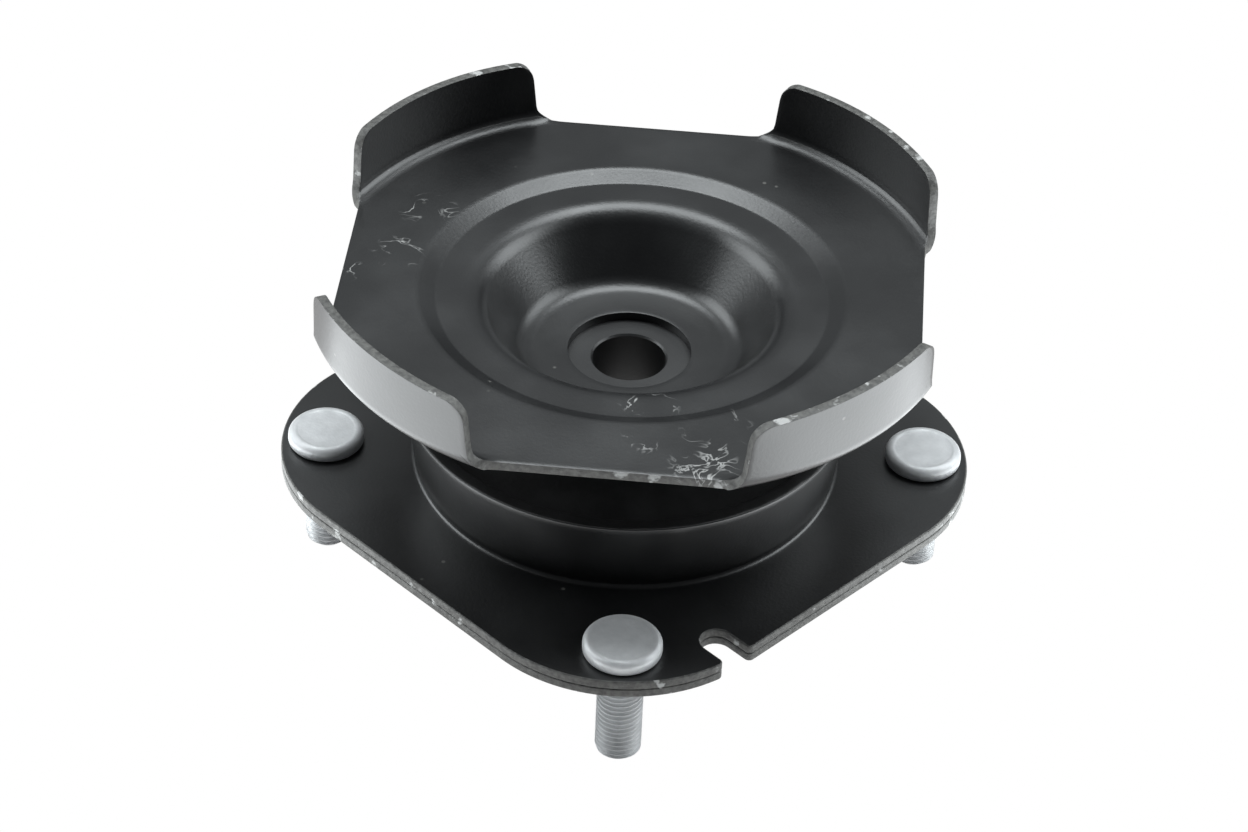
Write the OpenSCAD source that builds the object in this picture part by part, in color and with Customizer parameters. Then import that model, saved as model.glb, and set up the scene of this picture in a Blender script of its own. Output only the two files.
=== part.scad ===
// Bonded-rubber strut mount: a two-sheet flange with four studs, a collar full of
// rubber, a steel hub for the damper rod and a pressed spring seat with four ears.
// Millimetres. Origin on the axis at the mounting face, +Z towards the spring seat,
// flange edges along X and Y.

/* [Flange] */
// Width across the flats of the square flange
flange_w = 130; // [122:1:150]
// Corner radius of the flange
flange_corner_r = 36; // [25:0.5:40]
// Thickness of each of the two flange sheets
flange_sheet = 2.1; // [1.5:0.1:3]
// Radius of the opening in the lower sheet
opening_r = 33; // [30:0.5:38]
// Width of the locating notch
notch_w = 7; // [4:0.5:10]
// Depth of the locating notch from the flange edge
notch_depth = 9.8; // [8:0.1:13]
// Distance of the notch from the middle of its edge
notch_offset = 30.5; // [25:0.5:34]

/* [Collar] */
// Outer radius of the collar at its foot
collar_r = 47; // [44:0.2:50]
// Height of the collar above the flange
collar_h = 18.6; // [12:0.2:24]
// Outward lean of the collar wall in degrees
collar_lean = 10; // [0:0.5:14]
// Radius of the small fillet at the foot of the collar
collar_fillet = 1; // [0.5:0.1:2]

/* [Studs] */
// Diameter of the circle through the studs
stud_pcd = 134; // [130:0.5:138]
// Thread diameter of a stud
stud_d = 10; // [8:1:12]
// Length of a stud below the mounting face
stud_len = 23.7; // [15:0.1:40]
// Diameter of a stud head
head_d = 17; // [14:0.5:19]
// Height of a stud head
head_h = 3.4; // [2.5:0.1:5]
// Radius of the rounded edge of a stud head
head_edge_r = 1.3; // [0.5:0.1:2]
// Diameter of the grip of a stud inside the flange sheets
grip_d = 10.6; // [10.2:0.1:13]
// Radial clearance between the grip of a stud and its holes
stud_fit = 0.05; // [0.02:0.01:0.2]

/* [Hub] */
// Diameter of the hole for the damper rod
rod_d = 16.2; // [12:0.1:18]
// Outer radius of the hub sleeve
hub_sleeve_r = 13.5; // [12:0.5:16]
// Radius of the hub flange under the spring seat
hub_top_r = 20.5; // [18:0.5:23]
// Thickness of the hub flange under the spring seat
hub_top_t = 3.5; // [2.5:0.5:5]
// Radius of the hub flange in the rubber
hub_foot_r = 25; // [22:0.5:27]
// Thickness of the hub flange in the rubber
hub_foot_t = 4; // [3:0.5:6]
// Height of the hub's lower face above the mounting face
hub_foot_z = 6; // [4:0.5:9]

/* [Rubber] */
// Depth of the moulded trough below the collar rim
trough_depth = 7; // [4:0.5:9]
// Radius of the rounding at the bottom of the trough
trough_r = 5; // [3:0.5:7]
// Thickness of the rubber lip over the collar rim
lip_t = 0.8; // [0.5:0.1:1.2]
// Rubber left between the hub foot and the lower recess
foot_cover = 1.5; // [1:0.5:2.5]

/* [Spring seat] */
// Height of the flat spring track above the mounting face
track_z = 49; // [46:0.2:52]
// Sheet thickness of the spring seat
seat_sheet = 2; // [1.6:0.1:2.6]
// Outer radius of the ears at their foot
ear_r = 71; // [66:0.5:75]
// Height of the ears above the spring track
ear_h = 15.5; // [11:0.5:18]
// Half of the angle that an ear spans at the ends of the straight edges
ear_half_angle = 21.9; // [18:0.1:26]
// Inner radius of the bend at the foot of an ear
ear_bend_r = 1.8; // [1.6:0.1:2.6]
// Outward lean of the ears in degrees
ear_lean = 1; // [0:0.5:6]
// Taper of each side of an ear in degrees
ear_taper = 5; // [0:0.5:10]
// Radius of the rounded top corners of an ear
ear_corner_r = 4; // [2:0.5:6]
// Drop of the crowned top edge of an ear at its ends
ear_crown = 0.8; // [0.4:0.1:1.5]
// Turn of the spring seat against the flange in degrees
seat_turn = -4.4; // [-10:0.2:10]

/* [Bowl] */
// Inner radius of the shallow step inside the spring track
step_in_r = 42.4; // [40:0.2:46]
// Width of the shallow step
step_w = 5; // [4.8:0.1:7]
// Depth of the shallow step
step_depth = 1.8; // [1:0.1:3]
// Radius of the two roundings of the step
step_round = 1.6; // [1:0.1:2]
// Radius where the bowl starts to fall away
bowl_mouth_r = 37; // [34:0.5:39]
// Radius of the flat floor of the bowl
bowl_floor_r = 20.5; // [18:0.5:23]
// Depth of the bowl below the spring track
bowl_depth = 16.5; // [12:0.5:18]
// Rounding at the mouth of the bowl
bowl_mouth_round = 7; // [5:0.5:8]
// Rounding at the floor of the bowl
bowl_floor_round = 5.5; // [3:0.5:7]
// Radius of the hole in the floor of the bowl
floor_hole_r = 13.6; // [11:0.2:16]

/* [Hidden] */
$fn = 96;

// Steps along each rounded stretch of a section
arc_steps = 8;
// Overrun of a cut past the face that it goes through
cut = 1;
// How far past the start of the bend the straight edges of the track reach
edge_reach = 1.4;
// Sideways ease that lets the corner rounding of an ear cross its side
corner_ease = 0.05;

flange_half = flange_w / 2;
flange_t = 2 * flange_sheet;
stud_xy = stud_pcd / 2 / sqrt(2);
rim_z = flange_t + collar_h;
seat_under_z = track_z - bowl_depth - seat_sheet;
bend_start_r = ear_r - seat_sheet - ear_bend_r;
edge_end_r = bend_start_r + edge_reach;
ear_half_w = edge_end_r * sin(ear_half_angle);
chord_x = edge_end_r * cos(45 - ear_half_angle);
chord_y = edge_end_r * sin(45 - ear_half_angle);

// Points on an arc about c with radius r, from angle a to angle b
function arc(c, r, a, b) =
    [for (i = [0 : arc_steps]) c + r * [cos(a + (b - a) * i / arc_steps), sin(a + (b - a) * i / arc_steps)]];

// Slope of the straight wall between two opposite roundings whose radii add to
// round_sum, where the section climbs by rise over a width of run
function wall_angle(run, rise, round_sum) =
    atan2(rise - round_sum, run) + asin(round_sum / norm([run, rise - round_sum]));

// One face of a sheet that climbs from [r0, z0] to [r1, z1] through a hollow and
// then a round bend. Offset t = 0 gives the upper face, t > 0 the face below it.
function climb(r0, z0, r1, z1, hollow, round, t) =
    let (a = wall_angle(r1 - r0, z1 - z0, hollow + round))
    concat(
        arc([r0, z0 + hollow], hollow + t, -90, a - 90),
        arc([r1, z1 - round], round - t, 90 + a, 90)
    );

// One face of the spring seat from the floor hole to the start of the ears
function pan_face(t) = concat(
    [[floor_hole_r, track_z - bowl_depth - t]],
    climb(bowl_floor_r, track_z - bowl_depth, bowl_mouth_r, track_z - step_depth,
        bowl_floor_round, bowl_mouth_round, t),
    climb(step_in_r, track_z - step_depth, step_in_r + step_w, track_z,
        step_round, step_round + seat_sheet, t)
);

// One face of the ears from the bend to past their top edge
function ear_face(t) =
    let (
        bend = [bend_start_r, track_z + ear_bend_r],
        r = ear_bend_r + t,
        foot = bend + r * [cos(ear_lean), -sin(ear_lean)],
        rise = track_z + ear_h + cut - foot[1]
    )
    concat(arc(bend, r, -90, -ear_lean), [foot + rise * [tan(ear_lean), 1]]);

// A list in reverse order
function reversed(list) = [for (i = [len(list) - 1 : -1 : 0]) list[i]];

// One face of the collar, from the flange sheet to the rim
function collar_face(t) =
    let (
        centre = [collar_r + collar_fillet, flange_t + collar_fillet],
        r = collar_fillet + t,
        foot = centre + r * [-cos(collar_lean), sin(collar_lean)],
        rise = rim_z - foot[1]
    )
    concat(arc(centre, r, 270, 180 - collar_lean), [foot + rise * [tan(collar_lean), 1]]);

// Outline of both flange sheets: a square with large round corners and one notch
module flange_outline() {
    inset = flange_half - flange_corner_r;
    difference() {
        union() {
            square([flange_w, 2 * inset], center = true);
            square([2 * inset, flange_w], center = true);
            for (x = [-inset, inset], y = [-inset, inset]) {
                translate([x, y]) circle(flange_corner_r);
            }
        }
        translate([flange_half, -notch_offset]) notch_outline();
    }
}

// Notch with a half-round bottom, open to +X, drawn from the flange edge inwards
module notch_outline() {
    bottom = notch_depth - notch_w / 2;
    translate([-bottom, 0]) circle(d = notch_w);
    translate([-bottom, -notch_w / 2]) square([bottom + cut, notch_w]);
}

// Places a child at each stud
module at_studs() {
    for (x = [-stud_xy, stud_xy], y = [-stud_xy, stud_xy]) {
        translate([x, y, 0]) children();
    }
}

// One flange sheet with its stud holes, standing on z
module flange_sheet_blank(z, hole_r) {
    difference() {
        translate([0, 0, z]) linear_extrude(flange_sheet) flange_outline();
        translate([0, 0, z - cut]) cylinder(r = hole_r, h = flange_sheet + 2 * cut);
        at_studs() translate([0, 0, z - cut]) cylinder(r = grip_d / 2 + stud_fit, h = flange_sheet + 2 * cut);
    }
}

// Flat sheet that closes the rubber from below and bears on the body
module lower_plate() {
    color("#1d1e20") flange_sheet_blank(0, opening_r);
}

// Sheet with the collar drawn up out of its middle
module upper_plate() {
    color("#1d1e20") union() {
        flange_sheet_blank(flange_sheet, collar_r + collar_fillet);
        rotate_extrude() polygon(concat(collar_face(0), reversed(collar_face(flange_sheet))));
    }
}

// Round-edged head, a grip as long as the flange is thick, and a shank with a
// chamfered end
module stud() {
    head_r = head_d / 2;
    shank_r = stud_d / 2;
    chamfer = stud_d / 8;
    edge = arc([head_r - head_edge_r, flange_t + head_h - head_edge_r], head_edge_r, 0, 90);
    rotate_extrude() polygon(concat(
        [
            [0, -stud_len],
            [shank_r - chamfer, -stud_len],
            [shank_r, chamfer - stud_len],
            [shank_r, 0],
            [grip_d / 2, 0],
            [grip_d / 2, flange_t],
            [head_r, flange_t]
        ],
        edge,
        [[0, flange_t + head_h]]
    ));
}

// Four press-fitted studs
module studs() {
    color("#c9ccce") at_studs() stud();
}

// Moulded ring between the collar and the hub, with a trough on top, a lip over
// the collar rim and a shallow recess below
module rubber_isolator() {
    wall = collar_face(flange_sheet);
    wall_top = wall[len(wall) - 1];
    rim_top = collar_face(0)[arc_steps + 1];
    trough_z = rim_z - trough_depth;
    trough_in_r = hub_top_r + trough_r;
    shoulder_r = wall_top[0] - lip_t - trough_r;
    neck_z = seat_under_z - hub_top_t;
    foot_top_z = hub_foot_z + hub_foot_t;
    color("#121213") rotate_extrude() polygon(concat(
        [
            [hub_sleeve_r, foot_top_z],
            [hub_foot_r, foot_top_z],
            [hub_foot_r, hub_foot_z],
            [hub_foot_r + foot_cover, hub_foot_z],
            [opening_r, flange_sheet]
        ],
        wall,
        [rim_top, rim_top + [0, lip_t], wall_top + [-lip_t, lip_t]],
        arc([shoulder_r, trough_z + trough_r], trough_r, 0, -90),
        arc([trough_in_r, trough_z + trough_r], trough_r, 270, 180),
        [[hub_top_r, neck_z], [hub_sleeve_r, neck_z]]
    ));
}

// Turned spool: the spring seat bears on its top flange, the rubber holds its foot
module hub() {
    neck_z = seat_under_z - hub_top_t;
    foot_top_z = hub_foot_z + hub_foot_t;
    color("#232427") difference() {
        union() {
            translate([0, 0, hub_foot_z]) cylinder(r = hub_foot_r, h = hub_foot_t);
            translate([0, 0, hub_foot_z]) cylinder(r = hub_sleeve_r, h = seat_under_z - hub_foot_z);
            translate([0, 0, neck_z]) cylinder(r = hub_top_r, h = hub_top_t);
        }
        translate([0, 0, hub_foot_z - cut]) cylinder(d = rod_d, h = seat_under_z - hub_foot_z + 2 * cut);
    }
}

// Space beside one ear: everything beyond the plane of its tapered side, with the
// foot of that plane at the end of the straight edge of the track
module beside_ear() {
    reach = 2 * ear_r;
    translate([chord_x, chord_y, track_z]) rotate([-ear_taper, 0, 45])
        translate([-reach, -reach, -reach]) cube([2 * reach, reach, 2 * reach]);
}

// One gap between two ears: beyond the straight edge of the track and beside both
module gap() {
    intersection() {
        translate([chord_x, -ear_r, seat_under_z]) cube([ear_r, 2 * ear_r, track_z]);
        beside_ear();
        mirror([0, 1, 0]) beside_ear();
    }
}

// What lies above the crowned top edge and the rounded top corners of an ear, seen
// along the ear's radius
module above_ear() {
    top_z = track_z + ear_h;
    top_half_w = ear_half_w - ear_h * tan(ear_taper);
    crown_r = (top_half_w ^ 2 / ear_crown + ear_crown) / 2;
    corner_x = top_half_w - ear_corner_r * tan(45 - ear_taper / 2) + corner_ease;
    turn = asin(corner_x / (crown_r - ear_corner_r));
    corner_z = top_z - crown_r + (crown_r - ear_corner_r) * cos(turn);
    corner = arc([corner_x, corner_z], ear_corner_r, ear_taper, 90 - turn);
    other_corner = [for (p = reversed(corner)) [-p[0], p[1]]];
    crown = arc([0, top_z - crown_r], crown_r, 90 - turn, 90 + turn);
    side_x = ear_half_w + ear_corner_r;
    roof_z = top_z + 2 * cut;
    outside = [
        [-side_x, corner[0][1]],
        [-side_x, roof_z],
        [side_x, roof_z],
        [side_x, corner[0][1]]
    ];
    rotate([90, 0, 90]) linear_extrude(2 * ear_r)
        polygon(concat(corner, [for (i = [1 : arc_steps - 1]) crown[i]], other_corner, outside));
}

// Pressed sheet: bowl with a hole for the rod, shallow step, flat spring track and
// four ears that centre the spring
module spring_seat() {
    color("#1b1c1f") rotate([0, 0, seat_turn]) difference() {
        rotate_extrude() polygon(concat(
            pan_face(0),
            ear_face(0),
            reversed(ear_face(seat_sheet)),
            reversed(pan_face(seat_sheet))
        ));
        for (k = [0 : 3]) {
            rotate([0, 0, 45 + 90 * k]) gap();
            rotate([0, 0, 90 * k]) above_ear();
        }
    }
}

lower_plate();
upper_plate();
studs();
rubber_isolator();
hub();
spring_seat();
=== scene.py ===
"""Bonded-rubber strut mount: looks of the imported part, in its own frame."""

import bpy
import numpy as np
from mathutils import Matrix, Vector


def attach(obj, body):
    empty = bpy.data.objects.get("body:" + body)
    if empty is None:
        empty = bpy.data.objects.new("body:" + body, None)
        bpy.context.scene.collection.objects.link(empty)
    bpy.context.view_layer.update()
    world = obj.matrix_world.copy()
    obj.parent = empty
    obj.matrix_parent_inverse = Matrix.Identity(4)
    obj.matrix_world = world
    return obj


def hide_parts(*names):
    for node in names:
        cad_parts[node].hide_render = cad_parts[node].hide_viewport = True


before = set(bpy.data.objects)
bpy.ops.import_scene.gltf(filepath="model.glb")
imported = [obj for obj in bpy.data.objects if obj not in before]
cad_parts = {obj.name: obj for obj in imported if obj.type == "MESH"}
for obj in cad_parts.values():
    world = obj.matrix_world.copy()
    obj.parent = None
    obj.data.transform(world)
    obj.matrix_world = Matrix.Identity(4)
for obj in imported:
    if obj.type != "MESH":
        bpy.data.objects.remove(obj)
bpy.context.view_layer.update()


# Lower flange sheet: flat pressed steel with large round corners and one slot for
# a locating tab. It is dip-coated black, lies under the upper sheet and is held to
# it by the grips of the four studs.
MM = 0.001
FLANGE_HALF = 65.0
FLANGE_CORNER = 36.0
FLANGE_SHEET = 2.1
FLANGE_OPENING = 33.0
NOTCH_HALF_W = 3.5
NOTCH_DEPTH = 9.8
NOTCH_Y = -30.5
EDGE_ROUND = 0.35
EDGE_STEPS = 4
CORNER_STEPS = 40
NOTCH_STEPS = 20
MOUTH_ROUND = 1.3
MOUTH_STEPS = 8
CIRCLE_STEPS = 160
COAT_BLACK = (0.0055, 0.0057, 0.0062, 1.0)
COAT_DUST = (0.013, 0.0135, 0.014, 1.0)
CUT_EDGE_DARK = (0.045, 0.044, 0.041, 1.0)
CUT_EDGE_GREY = (0.12, 0.118, 0.11, 1.0)
BARE_STEEL = (0.50, 0.50, 0.49, 1.0)
SCUFF_GREY = (0.42, 0.42, 0.41, 1.0)


def circle_loop(radius, z, count):
    """Points of a level circle, anticlockwise: radius times cosine and sine of even angles."""
    angle = np.arange(count) * 2 * np.pi / count
    return np.stack([radius * np.cos(angle), radius * np.sin(angle), np.full(count, z)], axis=1)


def flange_loop(inset, z):
    """The flange outline moved inwards by inset, anticlockwise: four quarter circles joined by
    straight edges, then the slot, whose sides are level, whose bottom is a half circle and whose two
    mouth corners are rounded by circles that touch the side and the flange edge."""
    centre = FLANGE_HALF - FLANGE_CORNER
    slot = NOTCH_HALF_W + inset
    low_y = NOTCH_Y - NOTCH_HALF_W - MOUTH_ROUND
    low_x = centre + np.sqrt((FLANGE_CORNER - MOUTH_ROUND) ** 2 - (low_y + centre) ** 2)
    low_turn = np.arctan2(low_y + centre, low_x - centre)
    starts = np.array([0.0, 0.5, 1.0, 1.5]) * np.pi
    ends = np.array([0.5, 1.0, 1.5, 2.0]) * np.pi
    ends[3] += low_turn
    share = np.linspace(0, 1, CORNER_STEPS)
    angle = (starts[:, None] + (ends - starts)[:, None] * share).ravel()
    side_x = np.repeat([1, -1, -1, 1], CORNER_STEPS) * centre
    side_y = np.repeat([1, 1, -1, -1], CORNER_STEPS) * centre
    bottom_turn = np.linspace(1.5, 0.5, NOTCH_STEPS) * np.pi
    centres = np.concatenate([
        np.stack([side_x, side_y], axis=1),
        np.tile([low_x, low_y], (MOUTH_STEPS, 1)),
        np.tile([FLANGE_HALF - NOTCH_DEPTH + NOTCH_HALF_W, NOTCH_Y], (NOTCH_STEPS, 1)),
        np.tile([FLANGE_HALF - MOUTH_ROUND, NOTCH_Y + NOTCH_HALF_W + MOUTH_ROUND], (MOUTH_STEPS, 1))])
    turns = np.concatenate([
        angle, np.linspace(low_turn, np.pi / 2, MOUTH_STEPS + 1)[1:], bottom_turn,
        np.linspace(-np.pi / 2, 0, MOUTH_STEPS)])
    radii = np.concatenate([
        np.full(4 * CORNER_STEPS, FLANGE_CORNER - inset), np.full(MOUTH_STEPS, MOUTH_ROUND - inset),
        np.full(NOTCH_STEPS, slot), np.full(MOUTH_STEPS, MOUTH_ROUND - inset)])
    flat = centres + radii[:, None] * np.stack([np.cos(turns), np.sin(turns)], axis=1)
    return np.concatenate([flat, np.full((len(flat), 1), z)], axis=1)


def round_edge(face, outward, upward, steps):
    """Inset and height pairs of a quarter round that leaves a level face and ends on an upright
    side: inset is r(1 - sin a), height is face - upward r(1 - cos a), for a from 0 to 90 degrees."""
    angle = np.linspace(0, np.pi / 2, steps + 1)
    return np.stack([outward * EDGE_ROUND * (1 - np.sin(angle)),
                     face - upward * EDGE_ROUND * (1 - np.cos(angle))], axis=1)


def strip_faces(first, rings, count):
    """Quads between neighbouring closed rings of count points, numbered from first."""
    ring = np.arange(rings - 1)[:, None] * count + first
    here = np.arange(count)[None, :]
    after = (here + 1) % count
    return np.stack([ring + here, ring + after, ring + count + after, ring + count + here],
                    axis=-1).reshape(-1, 4).tolist()


def level_faces(outer_first, outer_xy, inner_first, inner_xy, facing_up):
    """Two large level faces between an outer and an inner ring, cut apart along the X axis."""
    def sides(first, xy):
        angle = np.mod(np.arctan2(xy[:, 1], xy[:, 0]), 2 * np.pi)
        order = np.roll(np.arange(len(xy)), -int(np.argmin(angle)))
        half = int(np.argmin(np.abs(angle[order] - np.pi)))
        return (first + order[:half + 1]).tolist(), (first + np.append(order[half:], order[0])).tolist()
    faces = [a + b[::-1] for a, b in zip(sides(outer_first, outer_xy), sides(inner_first, inner_xy))]
    return faces if facing_up else [face[::-1] for face in faces]


def piece_from(name, points_mm, smooth_faces, flat_faces=()):
    """A mesh object at the origin from points in millimetres, with smooth and flat shaded faces."""
    mesh = bpy.data.meshes.new(name)
    flat_faces = list(flat_faces)
    mesh.from_pydata(points_mm * MM, [], list(smooth_faces) + flat_faces)
    smooth = np.ones(len(mesh.polygons), bool)
    smooth[len(smooth) - len(flat_faces):] = False
    mesh.polygons.foreach_set("use_smooth", smooth)
    mesh.update()
    made = bpy.data.objects.new(name, mesh)
    bpy.context.scene.collection.objects.link(made)
    return made


def add_node(tree, kind, inputs=None, **settings):
    """One shader node with its settings and its input values or incoming links."""
    made = tree.nodes.new(kind)
    for key, value in settings.items():
        setattr(made, key, value)
    for key, value in (inputs or {}).items():
        if isinstance(value, bpy.types.NodeSocket):
            tree.links.new(value, made.inputs[key])
        else:
            made.inputs[key].default_value = value
    return made


def blank_material(name):
    """A material with only a Principled shader and an output; returns it, its tree and the shader."""
    made = bpy.data.materials.new(name)
    made.use_nodes = True
    tree = made.node_tree
    return made, tree, tree.nodes["Principled BSDF"]


def dip_coat(name, roughness_low, roughness_high, scuffs=()):
    """Semi-gloss black dip coat: dusty clouds in colour and gloss and a fine orange peel. Where the
    rim attribute is near one the sheared edge shows as mottled grey with a few bare nicks, and inside
    each scuff, given by its middle and reach, thin contour lines of a noise are scraped pale."""
    made, tree, shader = blank_material(name)
    place = add_node(tree, "ShaderNodeTexCoord").outputs["Object"]

    def noise(scale, detail, twist=0.0):
        return add_node(tree, "ShaderNodeTexNoise", {
            "Vector": place, "Scale": scale, "Detail": detail, "Distortion": twist}).outputs["Fac"]

    def ramp(value, low, high, to_low=0.0, to_high=1.0):
        return add_node(tree, "ShaderNodeMapRange", {
            "Value": value, "From Min": low, "From Max": high,
            "To Min": to_low, "To Max": to_high}).outputs[0]

    def both(a, b, operation="MULTIPLY"):
        return add_node(tree, "ShaderNodeMath", {0: a, 1: b}, operation=operation).outputs[0]

    def blend(share, a, b):
        return add_node(tree, "ShaderNodeMix", {0: share, 6: a, 7: b}, data_type="RGBA").outputs[2]

    clouds = noise(45.0, 5.0)
    edge = ramp(add_node(tree, "ShaderNodeAttribute", attribute_name="rim").outputs["Fac"], 0.94, 0.99)
    specks = add_node(tree, "ShaderNodeTexVoronoi", {"Vector": place, "Scale": 130.0}).outputs["Distance"]
    colour = blend(ramp(clouds, 0.45, 0.75), COAT_BLACK, COAT_DUST)
    chips = both(ramp(specks, 0.07, 0.04), ramp(noise(60.0, 2.0), 0.55, 0.62))
    colour = blend(chips, colour, CUT_EDGE_GREY)
    sheared = blend(ramp(noise(900.0, 4.0), 0.35, 0.65), CUT_EDGE_DARK, CUT_EDGE_GREY)
    colour = blend(edge, colour, sheared)
    colour = blend(both(edge, ramp(noise(230.0, 3.0), 0.63, 0.68)), colour, BARE_STEEL)
    if scuffs:
        lines = ramp(both(both(noise(150.0, 3.0, 0.8), 0.5, "SUBTRACT"), 0.0, "ABSOLUTE"), 0.022, 0.004)
        broken = both(lines, ramp(noise(120.0, 2.0), 0.46, 0.58))
        for middle, reach in scuffs:
            away = add_node(tree, "ShaderNodeVectorMath", {0: place, 1: np.array(middle) * MM},
                            operation="DISTANCE").outputs["Value"]
            colour = blend(both(broken, ramp(away, reach * MM, 0.5 * reach * MM)), colour, SCUFF_GREY)
    gloss = ramp(clouds, 0.3, 0.7, roughness_low, roughness_high)
    gloss = both(gloss, both(edge, 0.25), "ADD")
    peel = add_node(tree, "ShaderNodeBump", {
        "Height": noise(1400.0, 2.0), "Strength": 0.08, "Distance": 0.0004})
    rough_cut = add_node(tree, "ShaderNodeBump", {
        "Height": noise(600.0, 3.0), "Strength": both(edge, 0.5), "Distance": 0.0006,
        "Normal": peel.outputs[0]})
    tree.links.new(colour, shader.inputs["Base Color"])
    tree.links.new(gloss, shader.inputs["Roughness"])
    tree.links.new(rough_cut.outputs[0], shader.inputs["Normal"])
    shader.inputs["IOR"].default_value = 1.6
    shader.inputs["Specular IOR Level"].default_value = 0.7
    return made


def set_rim(piece, weights):
    """Stores how near each face corner is to a rubbed edge, from 0 to 1, in the rim attribute: the
    weight of its point on smooth faces and nothing on level ones."""
    mesh = piece.data
    corner_point = np.empty(len(mesh.loops), np.int32)
    mesh.loops.foreach_get("vertex_index", corner_point)
    face_size = np.empty(len(mesh.polygons), np.int32)
    mesh.polygons.foreach_get("loop_total", face_size)
    rounded = np.empty(len(mesh.polygons), bool)
    mesh.polygons.foreach_get("use_smooth", rounded)
    corner_weight = weights[corner_point] * np.repeat(rounded, face_size)
    layer = mesh.attributes.new("rim", "FLOAT", "CORNER")
    layer.data.foreach_set("value", corner_weight.astype(np.float32))


top_edge = round_edge(FLANGE_SHEET, 1, 1, EDGE_STEPS)
low_edge = round_edge(0.0, 1, -1, EDGE_STEPS)[::-1]
lower_outer = np.concatenate([flange_loop(a, z) for a, z in np.concatenate([top_edge, low_edge])])
lower_inner = np.concatenate([circle_loop(FLANGE_OPENING + a, z, CIRCLE_STEPS)
                              for a, z in np.concatenate([low_edge[::-1], top_edge[::-1]])])
outer_count = len(flange_loop(0.0, 0.0))
edge_rings = 2 * (EDGE_STEPS + 1)
inner_first = len(lower_outer)
inner_last = inner_first + (edge_rings - 1) * CIRCLE_STEPS
outer_last = (edge_rings - 1) * outer_count
lower_points = np.concatenate([lower_outer, lower_inner])
lower_smooth = [face[::-1] for face in strip_faces(0, edge_rings, outer_count)]
lower_smooth += [face[::-1] for face in strip_faces(inner_first, edge_rings, CIRCLE_STEPS)]
outline_xy = flange_loop(EDGE_ROUND, 0)[:, :2]
opening_xy = circle_loop(1, 0, CIRCLE_STEPS)[:, :2]
lower_flat = level_faces(0, outline_xy, inner_last, opening_xy, True)
lower_flat += level_faces(outer_last, outline_xy, inner_first, opening_xy, False)
lower_sheet = piece_from("lower_sheet", lower_points, lower_smooth, lower_flat)
set_rim(lower_sheet, np.concatenate([np.ones(len(lower_outer)), np.zeros(len(lower_inner))]))
plate_coat = dip_coat("plate_coat", 0.30, 0.40)
lower_sheet.data.materials.append(plate_coat)
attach(lower_sheet, "root")
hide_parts("lower_plate")


# Upper flange sheet: the same outline, with a leaning collar drawn up out of its
# middle in the press. The collar holds the rubber; its foot has a tight fillet and
# its rim is trimmed square.
FLANGE_TOP = 2 * FLANGE_SHEET
COLLAR_R = 47.0
COLLAR_TOP = FLANGE_TOP + 18.6
COLLAR_LEAN = np.radians(10.0)
COLLAR_FILLET = 1.0
COLLAR_STEPS = 288
FILLET_STEPS = 8
WALL_STEPS = 12


def collar_section(inset, steps):
    """Radius and height along one face of the collar: a fillet of radius r + inset about a fixed
    centre, then a straight wall that leans outwards up to the rim."""
    centre = np.array([COLLAR_R + COLLAR_FILLET, FLANGE_TOP + COLLAR_FILLET])
    radius = COLLAR_FILLET + inset
    angle = np.linspace(1.5 * np.pi, np.pi - COLLAR_LEAN, FILLET_STEPS + 1)
    fillet = centre + radius * np.stack([np.cos(angle), np.sin(angle)], axis=1)
    height = np.linspace(fillet[-1, 1], COLLAR_TOP - EDGE_ROUND, steps + 1)[1:]
    wall = np.stack([fillet[-1, 0] + (height - fillet[-1, 1]) * np.tan(COLLAR_LEAN), height], axis=1)
    return np.concatenate([fillet, wall])


def turned(section, count):
    """Rings of a turned shape: every radius and height pair of the section carried round the axis."""
    angle = np.arange(count) * 2 * np.pi / count
    radius, height = section[:, :1], section[:, 1:]
    return np.stack([radius * np.cos(angle), radius * np.sin(angle),
                     np.broadcast_to(height, (len(section), count))], axis=-1).reshape(-1, 3)


outer_wall = collar_section(0.0, WALL_STEPS)
inner_wall = collar_section(FLANGE_SHEET, WALL_STEPS)[::-1]
rim_angle = np.linspace(0, np.pi / 2, EDGE_STEPS + 1)
rim_lift = EDGE_ROUND * np.sin(rim_angle)
rim_pull = EDGE_ROUND * (1 - np.cos(rim_angle))
rim_out = outer_wall[-1] + np.stack([-rim_pull, rim_lift], axis=1)
rim_in = (inner_wall[0] + np.stack([rim_pull, rim_lift], axis=1))[::-1]
collar_profile = np.concatenate([outer_wall, rim_out[1:], rim_in, inner_wall[1:]])
collar_points = turned(collar_profile, COLLAR_STEPS)
upper_edge = np.concatenate([round_edge(FLANGE_TOP, 1, 1, EDGE_STEPS),
                             round_edge(FLANGE_SHEET, 1, -1, EDGE_STEPS)[::-1]])
upper_outer = np.concatenate([flange_loop(a, z) for a, z in upper_edge])
collar_first = len(upper_outer)
collar_last = collar_first + (len(collar_profile) - 1) * COLLAR_STEPS
upper_points = np.concatenate([upper_outer, collar_points])
upper_smooth = [face[::-1] for face in strip_faces(0, edge_rings, outer_count)]
upper_smooth += strip_faces(collar_first, len(collar_profile), COLLAR_STEPS)
collar_xy = circle_loop(1, 0, COLLAR_STEPS)[:, :2]
upper_flat = level_faces(0, outline_xy, collar_first, collar_xy, True)
upper_flat += level_faces(outer_last, outline_xy, collar_last, collar_xy, False)
upper_sheet = piece_from("upper_sheet", upper_points, upper_smooth, upper_flat)
set_rim(upper_sheet, np.concatenate([np.ones(len(upper_outer)), np.zeros(len(collar_points))]))
upper_sheet.data.materials.append(plate_coat)
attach(upper_sheet, "root")
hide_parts("upper_plate")


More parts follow.
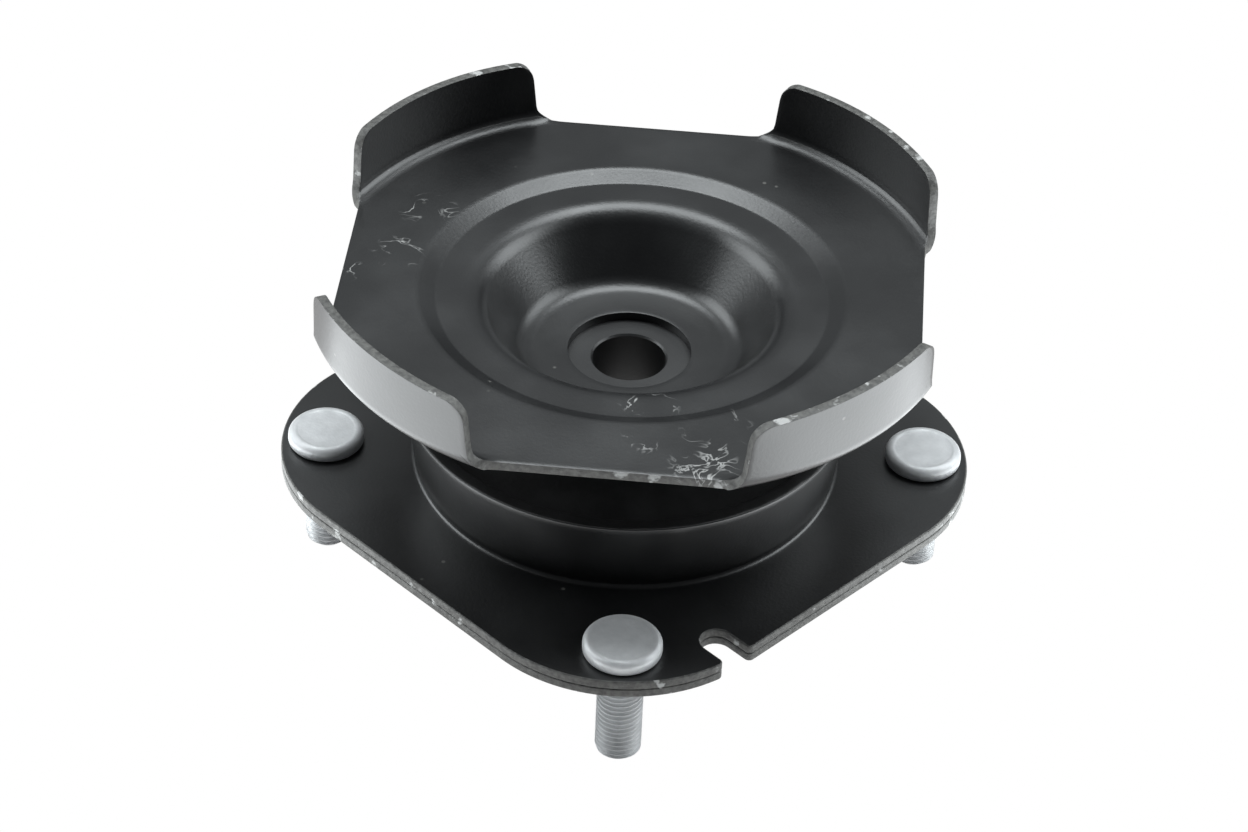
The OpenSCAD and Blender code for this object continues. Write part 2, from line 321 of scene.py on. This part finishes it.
# Studs: four cold-headed steel studs with a flat round head, a grip pressed into
# both sheets and a rolled thread. They are zinc plated to a satin silver.
STUD_CIRCLE = 134.0
STUD_XY = STUD_CIRCLE / 2 / np.sqrt(2)
HEAD_R = 8.5
HEAD_TOP = FLANGE_TOP + 3.4
HEAD_EDGE = 1.6
HEAD_UNDER = 0.9
GRIP_R = 5.3
THREAD_R = 5.0
THREAD_DEPTH = 0.7
THREAD_PITCH = 1.25
GROOVE_SLOPE = 1.55
CREST_FLAT = 0.2
RUNOUT_START = 0.6
RUNOUT_LENGTH = 1.2
THREAD_END = -23.7
TIP_CHAMFER = 1.25
ROWS_PER_PITCH = 12
STUD_STEPS = 56
ZINC = (0.84, 0.85, 0.86, 1.0)
ZINC_DULL = (0.70, 0.71, 0.72, 1.0)


def thread_rings():
    """Rings of the threaded shank: radius = crest - depth * groove, where groove is a flattened
    triangle wave of height over pitch minus turn, faded out below the flange and cut by the tip
    chamfer."""
    rows = int(-THREAD_END / THREAD_PITCH * ROWS_PER_PITCH)
    height = np.linspace(0.0, THREAD_END, rows)[:, None]
    angle = np.arange(STUD_STEPS)[None, :] * 2 * np.pi / STUD_STEPS
    phase = np.mod(height / THREAD_PITCH - angle / (2 * np.pi), 1.0)
    groove = np.clip(GROOVE_SLOPE * (1 - 2 * np.abs(phase - 0.5)) - CREST_FLAT, 0, 1)
    fade = np.clip((-height - RUNOUT_START) / RUNOUT_LENGTH, 0, 1)
    radius = THREAD_R - THREAD_DEPTH * groove * fade
    cone = THREAD_R - TIP_CHAMFER + (height - THREAD_END)
    radius = np.minimum(radius, cone)
    return np.stack([radius * np.cos(angle), radius * np.sin(angle),
                     np.broadcast_to(height, radius.shape)], axis=-1).reshape(-1, 3), rows


def head_section():
    """Radius and height of the stud head from its crown outwards: a face sunk by 0.12 mm, a small
    raised ring, a wide round edge, a tucked-in lower edge, and the grip below."""
    face = np.array([[0.05, -0.12], [2.0, -0.12], [4.5, -0.12], [6.2, -0.12], [6.45, -0.08], [6.7, -0.01]])
    face = face + [0.0, HEAD_TOP]
    upper = np.radians(np.linspace(90, 0, 11))
    lower = np.radians(np.linspace(0, -90, 7))
    edge = [HEAD_R - HEAD_EDGE, HEAD_TOP - HEAD_EDGE] + HEAD_EDGE * np.stack(
        [np.cos(upper), np.sin(upper)], axis=1)
    tuck = [HEAD_R - HEAD_UNDER, FLANGE_TOP + HEAD_UNDER] + HEAD_UNDER * np.stack(
        [np.cos(lower), np.sin(lower)], axis=1)
    return np.concatenate([face, edge, tuck, [[GRIP_R, FLANGE_TOP], [GRIP_R, 0.0]]])


thread_points, thread_rows = thread_rings()
head_profile = head_section()
one_stud = np.concatenate([turned(head_profile, STUD_STEPS), thread_points])
stud_rings = len(head_profile) + thread_rows
stud_quads = np.array([face[::-1] for face in strip_faces(0, stud_rings, STUD_STEPS)])
crown_face = np.arange(STUD_STEPS)
tip_face = (stud_rings - 1) * STUD_STEPS + np.arange(STUD_STEPS)[::-1]
stud_spots = np.array([[1, 1], [-1, 1], [-1, -1], [1, -1]]) * STUD_XY
stud_points = np.concatenate([one_stud + [x, y, 0.0] for x, y in stud_spots])
stud_shift = np.arange(4) * len(one_stud)
stud_faces = (stud_quads[None] + stud_shift[:, None, None]).reshape(-1, 4).tolist()
stud_faces += (crown_face[None] + stud_shift[:, None]).tolist()
stud_faces += (tip_face[None] + stud_shift[:, None]).tolist()
press_studs = piece_from("press_studs", stud_points, stud_faces)


def zinc_plate():
    """Satin zinc: light grey metal whose gloss and tone drift in small clouds, with faint pits."""
    made, tree, shader = blank_material("zinc_plate")
    place = add_node(tree, "ShaderNodeTexCoord").outputs["Object"]
    clouds = add_node(tree, "ShaderNodeTexNoise", {"Vector": place, "Scale": 260.0, "Detail": 6.0})
    pits = add_node(tree, "ShaderNodeTexNoise", {"Vector": place, "Scale": 1400.0, "Detail": 3.0})
    tone = add_node(tree, "ShaderNodeMapRange", {
        "Value": clouds.outputs["Fac"], "From Min": 0.35, "From Max": 0.7})
    gloss = add_node(tree, "ShaderNodeMapRange", {
        "Value": clouds.outputs["Fac"], "From Min": 0.3, "From Max": 0.7, "To Min": 0.42, "To Max": 0.58})
    colour = add_node(tree, "ShaderNodeMix", {0: tone.outputs[0], 6: ZINC, 7: ZINC_DULL}, data_type="RGBA")
    bump = add_node(tree, "ShaderNodeBump", {
        "Height": pits.outputs["Fac"], "Strength": 0.18, "Distance": 0.0003})
    tree.links.new(colour.outputs[2], shader.inputs["Base Color"])
    tree.links.new(gloss.outputs[0], shader.inputs["Roughness"])
    tree.links.new(bump.outputs["Normal"], shader.inputs["Normal"])
    shader.inputs["Metallic"].default_value = 0.35
    return made


press_studs.data.materials.append(zinc_plate())
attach(press_studs, "root")
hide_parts("studs")


# Hub: a turned steel spool with the rod hole through it. The spring seat bears on
# its top flange and the rubber is moulded round its neck and foot.
HUB_TOP = 30.5
HUB_LOW = 6.0
HUB_HEAD_R = 20.5
HUB_NECK_R = 13.5
HUB_FOOT_R = 25.0
NECK_TOP = HUB_TOP - 3.5
NECK_LOW = HUB_LOW + 4.0
HUB_BREAK = 0.4
ROD_HOLE_R = 8.1
HUB_STEPS = 128


def broken_edges(corners, width):
    """A closed section whose every corner is cut by a short slope: two points per corner, each the
    given width along the edge that leaves it."""
    before = np.roll(corners, 1, axis=0) - corners
    after = np.roll(corners, -1, axis=0) - corners
    before /= np.linalg.norm(before, axis=1, keepdims=True)
    after /= np.linalg.norm(after, axis=1, keepdims=True)
    return np.stack([corners + width * before, corners + width * after], axis=1).reshape(-1, 2)


hub_corners = np.array([
    [ROD_HOLE_R, HUB_TOP], [HUB_HEAD_R, HUB_TOP], [HUB_HEAD_R, NECK_TOP], [HUB_NECK_R, NECK_TOP],
    [HUB_NECK_R, NECK_LOW], [HUB_FOOT_R, NECK_LOW], [HUB_FOOT_R, HUB_LOW], [ROD_HOLE_R, HUB_LOW]])
hub_profile = broken_edges(hub_corners, HUB_BREAK)
hub_profile = np.concatenate([hub_profile, hub_profile[:1]])
hub_points = turned(hub_profile[:-1], HUB_STEPS)
hub_faces = np.array(strip_faces(0, len(hub_profile), HUB_STEPS)) % len(hub_points)
hub_spool = piece_from("hub_spool", hub_points, [], [face[::-1] for face in hub_faces.tolist()])
hub_spool.data.materials.append(dip_coat("hub_coat", 0.38, 0.5))
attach(hub_spool, "root")
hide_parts("hub")


# Rubber isolator: a moulded ring bonded to the collar and the hub, with a rounded
# trough between them. A thin ragged flash of rubber is left over the collar rim.
TROUGH_Z = COLLAR_TOP - 7.0
TROUGH_R = 5.0
TROUGH_STEPS = 10
LIP = 0.8
FOOT_COVER = 1.5
RUBBER_STEPS = 288
RUBBER_BLACK = (0.0075, 0.0075, 0.0078, 1.0)
RUBBER_BLOOM = (0.020, 0.020, 0.021, 1.0)


def arc_points(centre, radius, start, end, steps):
    """Points on an arc about centre, from angle start to angle end in degrees."""
    angle = np.radians(np.linspace(start, end, steps + 1))
    return np.array(centre) + radius * np.stack([np.cos(angle), np.sin(angle)], axis=1)


wall_inside = collar_section(FLANGE_SHEET, WALL_STEPS)
rim_r_in = wall_inside[-1, 0]
rim_r_out = collar_section(0.0, WALL_STEPS)[-1, 0]
rubber_profile = np.concatenate([
    [[HUB_NECK_R, NECK_LOW], [HUB_FOOT_R, NECK_LOW], [HUB_FOOT_R, HUB_LOW],
     [HUB_FOOT_R + FOOT_COVER, HUB_LOW], [FLANGE_OPENING, FLANGE_SHEET]],
    wall_inside,
    [[rim_r_in, COLLAR_TOP], [rim_r_out - 0.2, COLLAR_TOP], [rim_r_out, COLLAR_TOP + 0.2],
     [rim_r_out - 0.1, COLLAR_TOP + 0.6], [rim_r_out - 0.4, COLLAR_TOP + LIP],
     [rim_r_in - 0.4, COLLAR_TOP + LIP], [rim_r_in - LIP, COLLAR_TOP + 0.4]],
    arc_points([rim_r_in - LIP - TROUGH_R, TROUGH_Z + TROUGH_R], TROUGH_R, 0, -90, TROUGH_STEPS),
    arc_points([HUB_HEAD_R + TROUGH_R, TROUGH_Z + TROUGH_R], TROUGH_R, 270, 180, TROUGH_STEPS),
    [[HUB_HEAD_R, NECK_TOP], [HUB_NECK_R, NECK_TOP]]])
rubber_points = turned(rubber_profile, RUBBER_STEPS).reshape(len(rubber_profile), RUBBER_STEPS, 3)
flash_turn = np.arange(RUBBER_STEPS) * 2 * np.pi / RUBBER_STEPS
flash = 0.5 + 0.2 * np.sin(17 * flash_turn + 1.0) + 0.2 * np.sin(41 * flash_turn)
flash += 0.1 * np.sin(97 * flash_turn + 2.0)
flash = 0.35 + 0.65 * flash * (0.6 + 0.4 * np.sin(flash_turn + 0.3))
above_rim = np.clip(rubber_points[..., 2] - COLLAR_TOP, 0, None)
on_lip = (above_rim > 0) & (rubber_profile[:, :1] > HUB_FOOT_R)
rubber_points[..., 2] -= np.where(on_lip, above_rim * (1 - flash[None, :]), 0)
rubber_points = rubber_points.reshape(-1, 3)
rubber_faces = np.array(strip_faces(0, len(rubber_profile) + 1, RUBBER_STEPS)) % len(rubber_points)
rubber_ring = piece_from("rubber_ring", rubber_points, rubber_faces.tolist())


def moulded_rubber():
    """Matt black rubber with a faint grey bloom and a fine moulded grain."""
    made, tree, shader = blank_material("moulded_rubber")
    place = add_node(tree, "ShaderNodeTexCoord").outputs["Object"]
    bloom = add_node(tree, "ShaderNodeTexNoise", {"Vector": place, "Scale": 120.0, "Detail": 5.0})
    grain = add_node(tree, "ShaderNodeTexNoise", {"Vector": place, "Scale": 900.0, "Detail": 4.0})
    share = add_node(tree, "ShaderNodeMapRange", {
        "Value": bloom.outputs["Fac"], "From Min": 0.45, "From Max": 0.75})
    gloss = add_node(tree, "ShaderNodeMapRange", {
        "Value": bloom.outputs["Fac"], "From Min": 0.3, "From Max": 0.7, "To Min": 0.55, "To Max": 0.75})
    colour = add_node(tree, "ShaderNodeMix", {
        0: share.outputs[0], 6: RUBBER_BLACK, 7: RUBBER_BLOOM}, data_type="RGBA")
    bump = add_node(tree, "ShaderNodeBump", {
        "Height": grain.outputs["Fac"], "Strength": 0.3, "Distance": 0.0004})
    tree.links.new(colour.outputs[2], shader.inputs["Base Color"])
    tree.links.new(gloss.outputs[0], shader.inputs["Roughness"])
    tree.links.new(bump.outputs["Normal"], shader.inputs["Normal"])
    return made


rubber_ring.data.materials.append(moulded_rubber())
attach(rubber_ring, "root")
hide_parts("rubber_isolator")


# Spring seat: one disc of steel sheet pressed into a bowl, a shallow step and a flat
# track, with four ears folded up to centre the spring and the edge between the ears
# sheared straight. It is dip-coated and scuffed, and its floor sits on the hub.
TRACK_Z = 49.0
SEAT_SHEET = 2.0
SEAT_TURN = np.radians(-4.4)
EAR_R = 71.0
EAR_H = 15.5
EAR_BEND = 2.4
EAR_LEAN = np.radians(1.0)
EAR_TAPER = np.radians(5.0)
EAR_CORNER = 4.0
EAR_CROWN = 0.8
EAR_HALF_ANGLE = np.radians(21.9)
BEND_START = EAR_R - SEAT_SHEET - EAR_BEND
EDGE_END_R = 68.6
CHORD_X = EDGE_END_R * np.cos(np.pi / 4 - EAR_HALF_ANGLE)
CHORD_Y = EDGE_END_R * np.sin(np.pi / 4 - EAR_HALF_ANGLE)
EAR_HALF_W = EDGE_END_R * np.sin(EAR_HALF_ANGLE)
EAR_FILLET = 3.0
FOOT_HALF_ANGLE = np.pi / 4 - np.arctan2(CHORD_Y - EAR_FILLET, CHORD_X)
FLOOR_HOLE_R = 13.6
BOWL_FLOOR_R = 20.5
BOWL_FLOOR_Z = TRACK_Z - 16.5
BOWL_FLOOR_ROUND = 5.5
BOWL_MOUTH_R = 37.0
BOWL_MOUTH_ROUND = 7.0
SHELF_Z = TRACK_Z - 1.8
STEP_IN_R = 42.4
STEP_OUT_R = STEP_IN_R + 5.0
STEP_HOLLOW = 1.6
STEP_CREST = STEP_HOLLOW + SEAT_SHEET
FLOOR_ROWS = 5
BOWL_STEPS = 12
SHELF_ROWS = 3
STEP_STEPS = 8
TRACK_ROWS = 15
BEND_ROWS = 10
SIDE_ROWS = 8
CORNER_ROWS = 12
EAR_COLUMNS = 40
GAP_COLUMNS = 32
SHARP_ANGLE = np.radians(50)


def climb_section(r0, z0, r1, z1, hollow, crest, steps):
    """Radius and height of a sheet face that leaves a level floor through a hollow bend, climbs a
    straight wall and ends level through a crest bend: the wall's slope makes both bends tangent."""
    both = hollow + crest
    run, rise = r1 - r0, z1 - z0 - both
    slope = np.degrees(np.arctan2(rise, run) + np.arcsin(both / np.hypot(run, rise)))
    return np.concatenate([arc_points([r0, z0 + hollow], hollow, -90, slope - 90, steps),
                           arc_points([r1, z1 - crest], crest, 90 + slope, 90, steps)])


def pan_section():
    """Radius and height of the seat's upper face from the floor hole to past the step."""
    floor_r = np.linspace(FLOOR_HOLE_R, BOWL_FLOOR_R, FLOOR_ROWS + 1)[:-1]
    floor = np.stack([floor_r, np.full(FLOOR_ROWS, BOWL_FLOOR_Z)], axis=1)
    bowl = climb_section(BOWL_FLOOR_R, BOWL_FLOOR_Z, BOWL_MOUTH_R, SHELF_Z,
                         BOWL_FLOOR_ROUND, BOWL_MOUTH_ROUND, BOWL_STEPS)
    shelf_r = np.linspace(BOWL_MOUTH_R, STEP_IN_R, SHELF_ROWS + 2)[1:-1]
    shelf = np.stack([shelf_r, np.full(SHELF_ROWS, SHELF_Z)], axis=1)
    step = climb_section(STEP_IN_R, SHELF_Z, STEP_OUT_R, TRACK_Z, STEP_HOLLOW, STEP_CREST, STEP_STEPS)
    return np.concatenate([floor, bowl, shelf, step])


def ear_half_width(height, foot_height):
    """Half the width of an ear at a height above the track: the side tapers in, flares through a
    fillet at the foot, and within the top corner a circle takes over that touches the side."""
    corner_x = EAR_HALF_W - EAR_H * np.tan(EAR_TAPER) - EAR_CORNER * np.tan(np.pi / 4 - EAR_TAPER / 2)
    corner_z = EAR_H - EAR_CROWN - EAR_CORNER
    low = np.clip(1 - (height - foot_height) / EAR_FILLET, 0, 1)
    flare = EAR_FILLET / np.sqrt(2) * low ** 2
    side = EAR_HALF_W - height * np.tan(EAR_TAPER) + flare
    reach = np.sqrt(np.clip(EAR_CORNER ** 2 - np.clip(height - corner_z, 0, None) ** 2, 0, None))
    return np.where(height > corner_z + EAR_CORNER * np.sin(EAR_TAPER), corner_x + reach, side)


def along_ear(way):
    """Radius and height above the track at a distance along the ear's section: first the bend, an
    arc, and then the leaning wall."""
    bend_end = np.pi / 2 - EAR_LEAN
    angle = np.clip(way / EAR_BEND, 0, bend_end)
    wall = np.clip(way - EAR_BEND * bend_end, 0, None)
    return (BEND_START + EAR_BEND * np.sin(angle) + wall * np.sin(EAR_LEAN),
            EAR_BEND * (1 - np.cos(angle)) + wall * np.cos(EAR_LEAN))


def ear_foot_radius(turn):
    """Radius of the line where an ear joins the pan: round in the middle, then along the straight
    edge where the fillet runs out."""
    return np.where(np.abs(turn) > EAR_HALF_ANGLE, CHORD_X / np.cos(np.pi / 4 - np.abs(turn)), EDGE_END_R)


def ear_grid(share):
    """Points of one ear about +X, rows from its foot to the top edge, columns across it. Each column
    starts where the foot line meets the section and climbs along it; a row's width follows the ear's
    side, and the top rows bow up into the crown."""
    foot_way = EAR_BEND * np.arcsin((ear_foot_radius(FOOT_HALF_ANGLE * share) - BEND_START) / EAR_BEND)
    bend_way = EAR_BEND * (np.pi / 2 - EAR_LEAN)
    corner_low = EAR_H - EAR_CROWN - EAR_CORNER
    corner_way = bend_way + (corner_low - EAR_BEND) / np.cos(EAR_LEAN)
    way = np.concatenate([
        np.linspace(foot_way[0], bend_way, BEND_ROWS), np.linspace(bend_way, corner_way, SIDE_ROWS)[1:],
        corner_way + EAR_CORNER * np.sin(np.linspace(0, np.pi / 2, CORNER_ROWS))[1:]])
    climbed = (way - way[0]) / (way[-1] - way[0])
    full_way = foot_way[None, :] + climbed[:, None] * (way[-1] - foot_way[None, :])
    radius, height = along_ear(full_way)
    half_width = ear_half_width(height[:, 0], height[0, 0])
    turn = np.arcsin(half_width / radius[:, 0])[:, None] * share[None, :]
    lift = np.clip((height - corner_low) / EAR_CORNER, 0, 1)
    across = np.sin(turn) * radius / EAR_HALF_W
    crown = EAR_CROWN * np.clip(1 - across ** 2, 0, None) * lift
    return radius * np.cos(turn), radius * np.sin(turn), TRACK_Z + height + crown


def seat_height(radius):
    """Height of the flat track and of the start of the bend: level, then a hollow arc."""
    past = np.clip(radius - BEND_START, 0, None)
    return TRACK_Z + EAR_BEND - np.sqrt(EAR_BEND ** 2 - past ** 2)


ear_share = np.linspace(-1, 1, EAR_COLUMNS + 1)
gap_share = np.linspace(-1, 1, GAP_COLUMNS + 1)[1:-1]
gap_half = np.pi / 4 - FOOT_HALF_ANGLE
quarter_turn = np.concatenate([FOOT_HALF_ANGLE * ear_share, np.pi / 4 + gap_half * gap_share])
quarter_edge = np.concatenate([
    ear_foot_radius(FOOT_HALF_ANGLE * ear_share), CHORD_X / np.cos(gap_half * gap_share)])
seat_turns = (quarter_turn[None] + np.arange(4)[:, None] * np.pi / 2).ravel() + SEAT_TURN
seat_edge = np.tile(quarter_edge, 4)
seat_columns = len(seat_turns)
pan_profile = pan_section()
track_share = np.linspace(0, 1, TRACK_ROWS + 1)[1:, None]
track_start = pan_profile[-1, 0]
track_r = track_start + (seat_edge[None] - track_start) * track_share
pan_r = np.concatenate([np.repeat(pan_profile[:, :1], seat_columns, axis=1), track_r])
pan_z = np.concatenate([np.repeat(pan_profile[:, 1:], seat_columns, axis=1), seat_height(track_r)])
pan_points = np.stack([pan_r * np.cos(seat_turns), pan_r * np.sin(seat_turns), pan_z], axis=-1)
pan_rows = len(pan_r)
ear_x, ear_y, ear_z = ear_grid(ear_share)
ear_rows = len(ear_x) - 1
spin = SEAT_TURN + np.arange(4) * np.pi / 2
ears = np.stack([
    ear_x[None, 1:] * np.cos(spin)[:, None, None] - ear_y[None, 1:] * np.sin(spin)[:, None, None],
    ear_x[None, 1:] * np.sin(spin)[:, None, None] + ear_y[None, 1:] * np.cos(spin)[:, None, None],
    np.broadcast_to(ear_z[1:], (4,) + ear_z[1:].shape)], axis=-1)
seat_points = np.concatenate([pan_points.reshape(-1, 3), ears.reshape(-1, 3)])
seat_faces = strip_faces(0, pan_rows, seat_columns)
ear_first = pan_rows * seat_columns
foot_ring = (pan_rows - 1) * seat_columns
per_quarter = EAR_COLUMNS + len(gap_share) + 1
foot = foot_ring + np.arange(4)[:, None] * per_quarter + np.arange(EAR_COLUMNS + 1)[None]
rest = ear_first + np.arange(4 * ear_rows * (EAR_COLUMNS + 1)).reshape(4, ear_rows, EAR_COLUMNS + 1)
ear_index = np.concatenate([foot[:, None], rest], axis=1)
ear_quads = np.stack([
    ear_index[:, :-1, :-1], ear_index[:, :-1, 1:], ear_index[:, 1:, 1:], ear_index[:, 1:, :-1]],
    axis=-1).reshape(-1, 4).tolist()
spring_dish = piece_from("spring_dish", seat_points, [face[::-1] for face in seat_faces + ear_quads])
pan_rim = np.zeros((pan_rows, seat_columns))
pan_rim[-1] = 1.0
ear_rim = np.zeros((4, ear_rows, EAR_COLUMNS + 1))
ear_rim[:, -1] = 1.0
ear_rim[:, :, [0, -1]] = 1.0
set_rim(spring_dish, np.concatenate([pan_rim.ravel(), ear_rim.ravel()]))
thickness = spring_dish.modifiers.new("sheet", "SOLIDIFY")
thickness.thickness = SEAT_SHEET * MM
thickness.offset = -1.0
soft_edge = spring_dish.modifiers.new("edge", "BEVEL")
soft_edge.width = EDGE_ROUND * MM
soft_edge.segments = 2
soft_edge.limit_method = "ANGLE"
soft_edge.angle_limit = SHARP_ANGLE
dish_scuffs = [((-44.4, -28.2, 49.0), 7.0), ((-51.4, -13.0, 49.0), 7.0), ((-47.0, -42.0, 49.0), 5.0),
               ((30.1, -25.0, 48.0), 7.0), ((46.0, -22.0, 49.0), 9.0), ((53.2, -32.0, 49.0), 8.0),
               ((38.2, -35.9, 49.0), 5.0)]
spring_dish.data.materials.append(dip_coat("seat_coat", 0.28, 0.38, dish_scuffs))
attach(spring_dish, "root")
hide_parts("spring_seat")


# Floor and studio: a pale floor just under the stud ends, white where the camera and
# reflections see it. Soft boxes hang over the part, a dim card stands behind it and
# two light tables lie beside it.
FLOOR_Z = -23.75
FLOOR_HALF = 3.0
FLOOR_PALE = (0.8, 0.8, 0.8, 1.0)
WHITE = (1.0, 1.0, 1.0, 1.0)
ROOM_COLOUR = (0.9, 0.95, 1.0, 1.0)
ROOM_GLOW = 0.06


def white_floor():
    """Pale matt floor that shows as plain white to the camera and in reflections."""
    made, tree, shader = blank_material("white_floor")
    shader.inputs["Base Color"].default_value = FLOOR_PALE
    shader.inputs["Roughness"].default_value = 0.9
    path = add_node(tree, "ShaderNodeLightPath")
    seen = add_node(tree, "ShaderNodeMath", {
        0: path.outputs["Is Camera Ray"], 1: path.outputs["Is Glossy Ray"]}, operation="MAXIMUM")
    seen = add_node(tree, "ShaderNodeMath", {
        0: seen.outputs[0], 1: path.outputs["Is Transmission Ray"]}, operation="MAXIMUM")
    glow = add_node(tree, "ShaderNodeEmission", {"Color": WHITE, "Strength": 1.0})
    mixed = add_node(tree, "ShaderNodeMixShader", {
        0: seen.outputs[0], 1: shader.outputs[0], 2: glow.outputs[0]})
    tree.links.new(mixed.outputs[0], tree.nodes["Material Output"].inputs["Surface"])
    return made


floor_corners = np.array([[-1, -1, 0], [1, -1, 0], [1, 1, 0], [-1, 1, 0]]) * FLOOR_HALF / MM
floor_corners += [0, 0, FLOOR_Z]
floor = piece_from("floor", floor_corners, [[0, 1, 2, 3]])
floor.data.materials.append(white_floor())

world = bpy.data.worlds.new("studio")
bpy.context.scene.world = world
world.use_nodes = True
room = world.node_tree
ray = add_node(room, "ShaderNodeLightPath")
backdrop = add_node(room, "ShaderNodeBackground", {"Color": WHITE, "Strength": 1.0})
dim = room.nodes["Background"]
dim.inputs["Color"].default_value = ROOM_COLOUR
dim.inputs["Strength"].default_value = ROOM_GLOW
seen_world = add_node(room, "ShaderNodeMixShader", {
    0: ray.outputs["Is Camera Ray"], 1: dim.outputs[0], 2: backdrop.outputs[0]})
room.links.new(seen_world.outputs[0], room.nodes["World Output"].inputs["Surface"])


VIEW_RIGHT = Vector((0.7215, 0.6924, 0.0))
VIEW_BACK = Vector((-0.6924, 0.7215, 0.0))
PART_MIDDLE = Vector((0.0, 0.0, 0.04))
LAMP_COLOUR = (0.93, 0.98, 1.0)


def soft_box(name, right, back, up, width, depth, glow, aim=PART_MIDDLE):
    """A rectangular lamp placed by its distances to the right of, behind and above the part as the
    camera sees it, facing aim, with its width along the view; glow is its brightness per area."""
    place = VIEW_RIGHT * right + VIEW_BACK * back + Vector((0, 0, up))
    lamp = bpy.data.lights.new(name, "AREA")
    lamp.shape = "RECTANGLE"
    lamp.size = width
    lamp.size_y = depth
    lamp.color = LAMP_COLOUR
    lamp.energy = glow * width * depth * np.pi
    holder = bpy.data.objects.new(name, lamp)
    bpy.context.scene.collection.objects.link(holder)
    axis_z = (place - aim).normalized()
    axis_x = (VIEW_RIGHT - axis_z * VIEW_RIGHT.dot(axis_z)).normalized()
    axes = Matrix((axis_x, axis_z.cross(axis_x), axis_z)).transposed().to_4x4()
    holder.matrix_world = Matrix.Translation(place) @ axes


soft_box("top_box", 0.0, 0.30, 1.0, 0.9, 0.5, 5.6)
soft_box("left_box", -0.9, 0.25, 0.62, 0.75, 0.75, 3.8)
soft_box("right_box", 0.9, 0.25, 0.62, 0.75, 0.75, 3.8)
soft_box("back_card", 0.0, 1.1, 0.75, 1.6, 0.9, 0.3)
TABLE_SIDE = 0.27
TABLE_BACK = -0.11
TABLE_UP = -0.0235
TABLE_W = 0.37
TABLE_DEPTH = 0.28
TABLE_GLOW = 3.0
for side, table in ((-1, "left_table"), (1, "right_table")):
    overhead = VIEW_RIGHT * (TABLE_SIDE * side) + VIEW_BACK * TABLE_BACK + Vector((0, 0, 1))
    soft_box(table, TABLE_SIDE * side, TABLE_BACK, TABLE_UP, TABLE_W, TABLE_DEPTH, TABLE_GLOW, overhead)


# Camera: the photograph's viewpoint, above the slotted corner of the flange, with a
# long lens and a slight roll.
VIEW_FROM = Vector((0.42094, -0.43937, 0.4930))
VIEW_AT = Vector((-0.00036, -0.00037, 0.01386))
VIEW_ROLL = np.radians(2.65)
VIEW_LENS = 100.2
SENSOR = 36.0
view_camera = bpy.data.cameras.new("view_camera")
view_camera.lens = VIEW_LENS
view_camera.sensor_width = SENSOR
view_camera.sensor_fit = "HORIZONTAL"
camera_holder = bpy.data.objects.new("view_camera", view_camera)
bpy.context.scene.collection.objects.link(camera_holder)
ahead = (VIEW_AT - VIEW_FROM).normalized()
right = ahead.cross(Vector((0, 0, 1))).normalized()
upright = right.cross(ahead)
image_x = right * np.cos(VIEW_ROLL) + upright * np.sin(VIEW_ROLL)
image_y = upright * np.cos(VIEW_ROLL) - right * np.sin(VIEW_ROLL)
turned_axes = Matrix((image_x, image_y, -ahead)).transposed().to_4x4()
camera_holder.matrix_world = Matrix.Translation(VIEW_FROM) @ turned_axes
bpy.context.scene.camera = camera_holder

bpy.context.scene.view_settings.view_transform = "Standard"
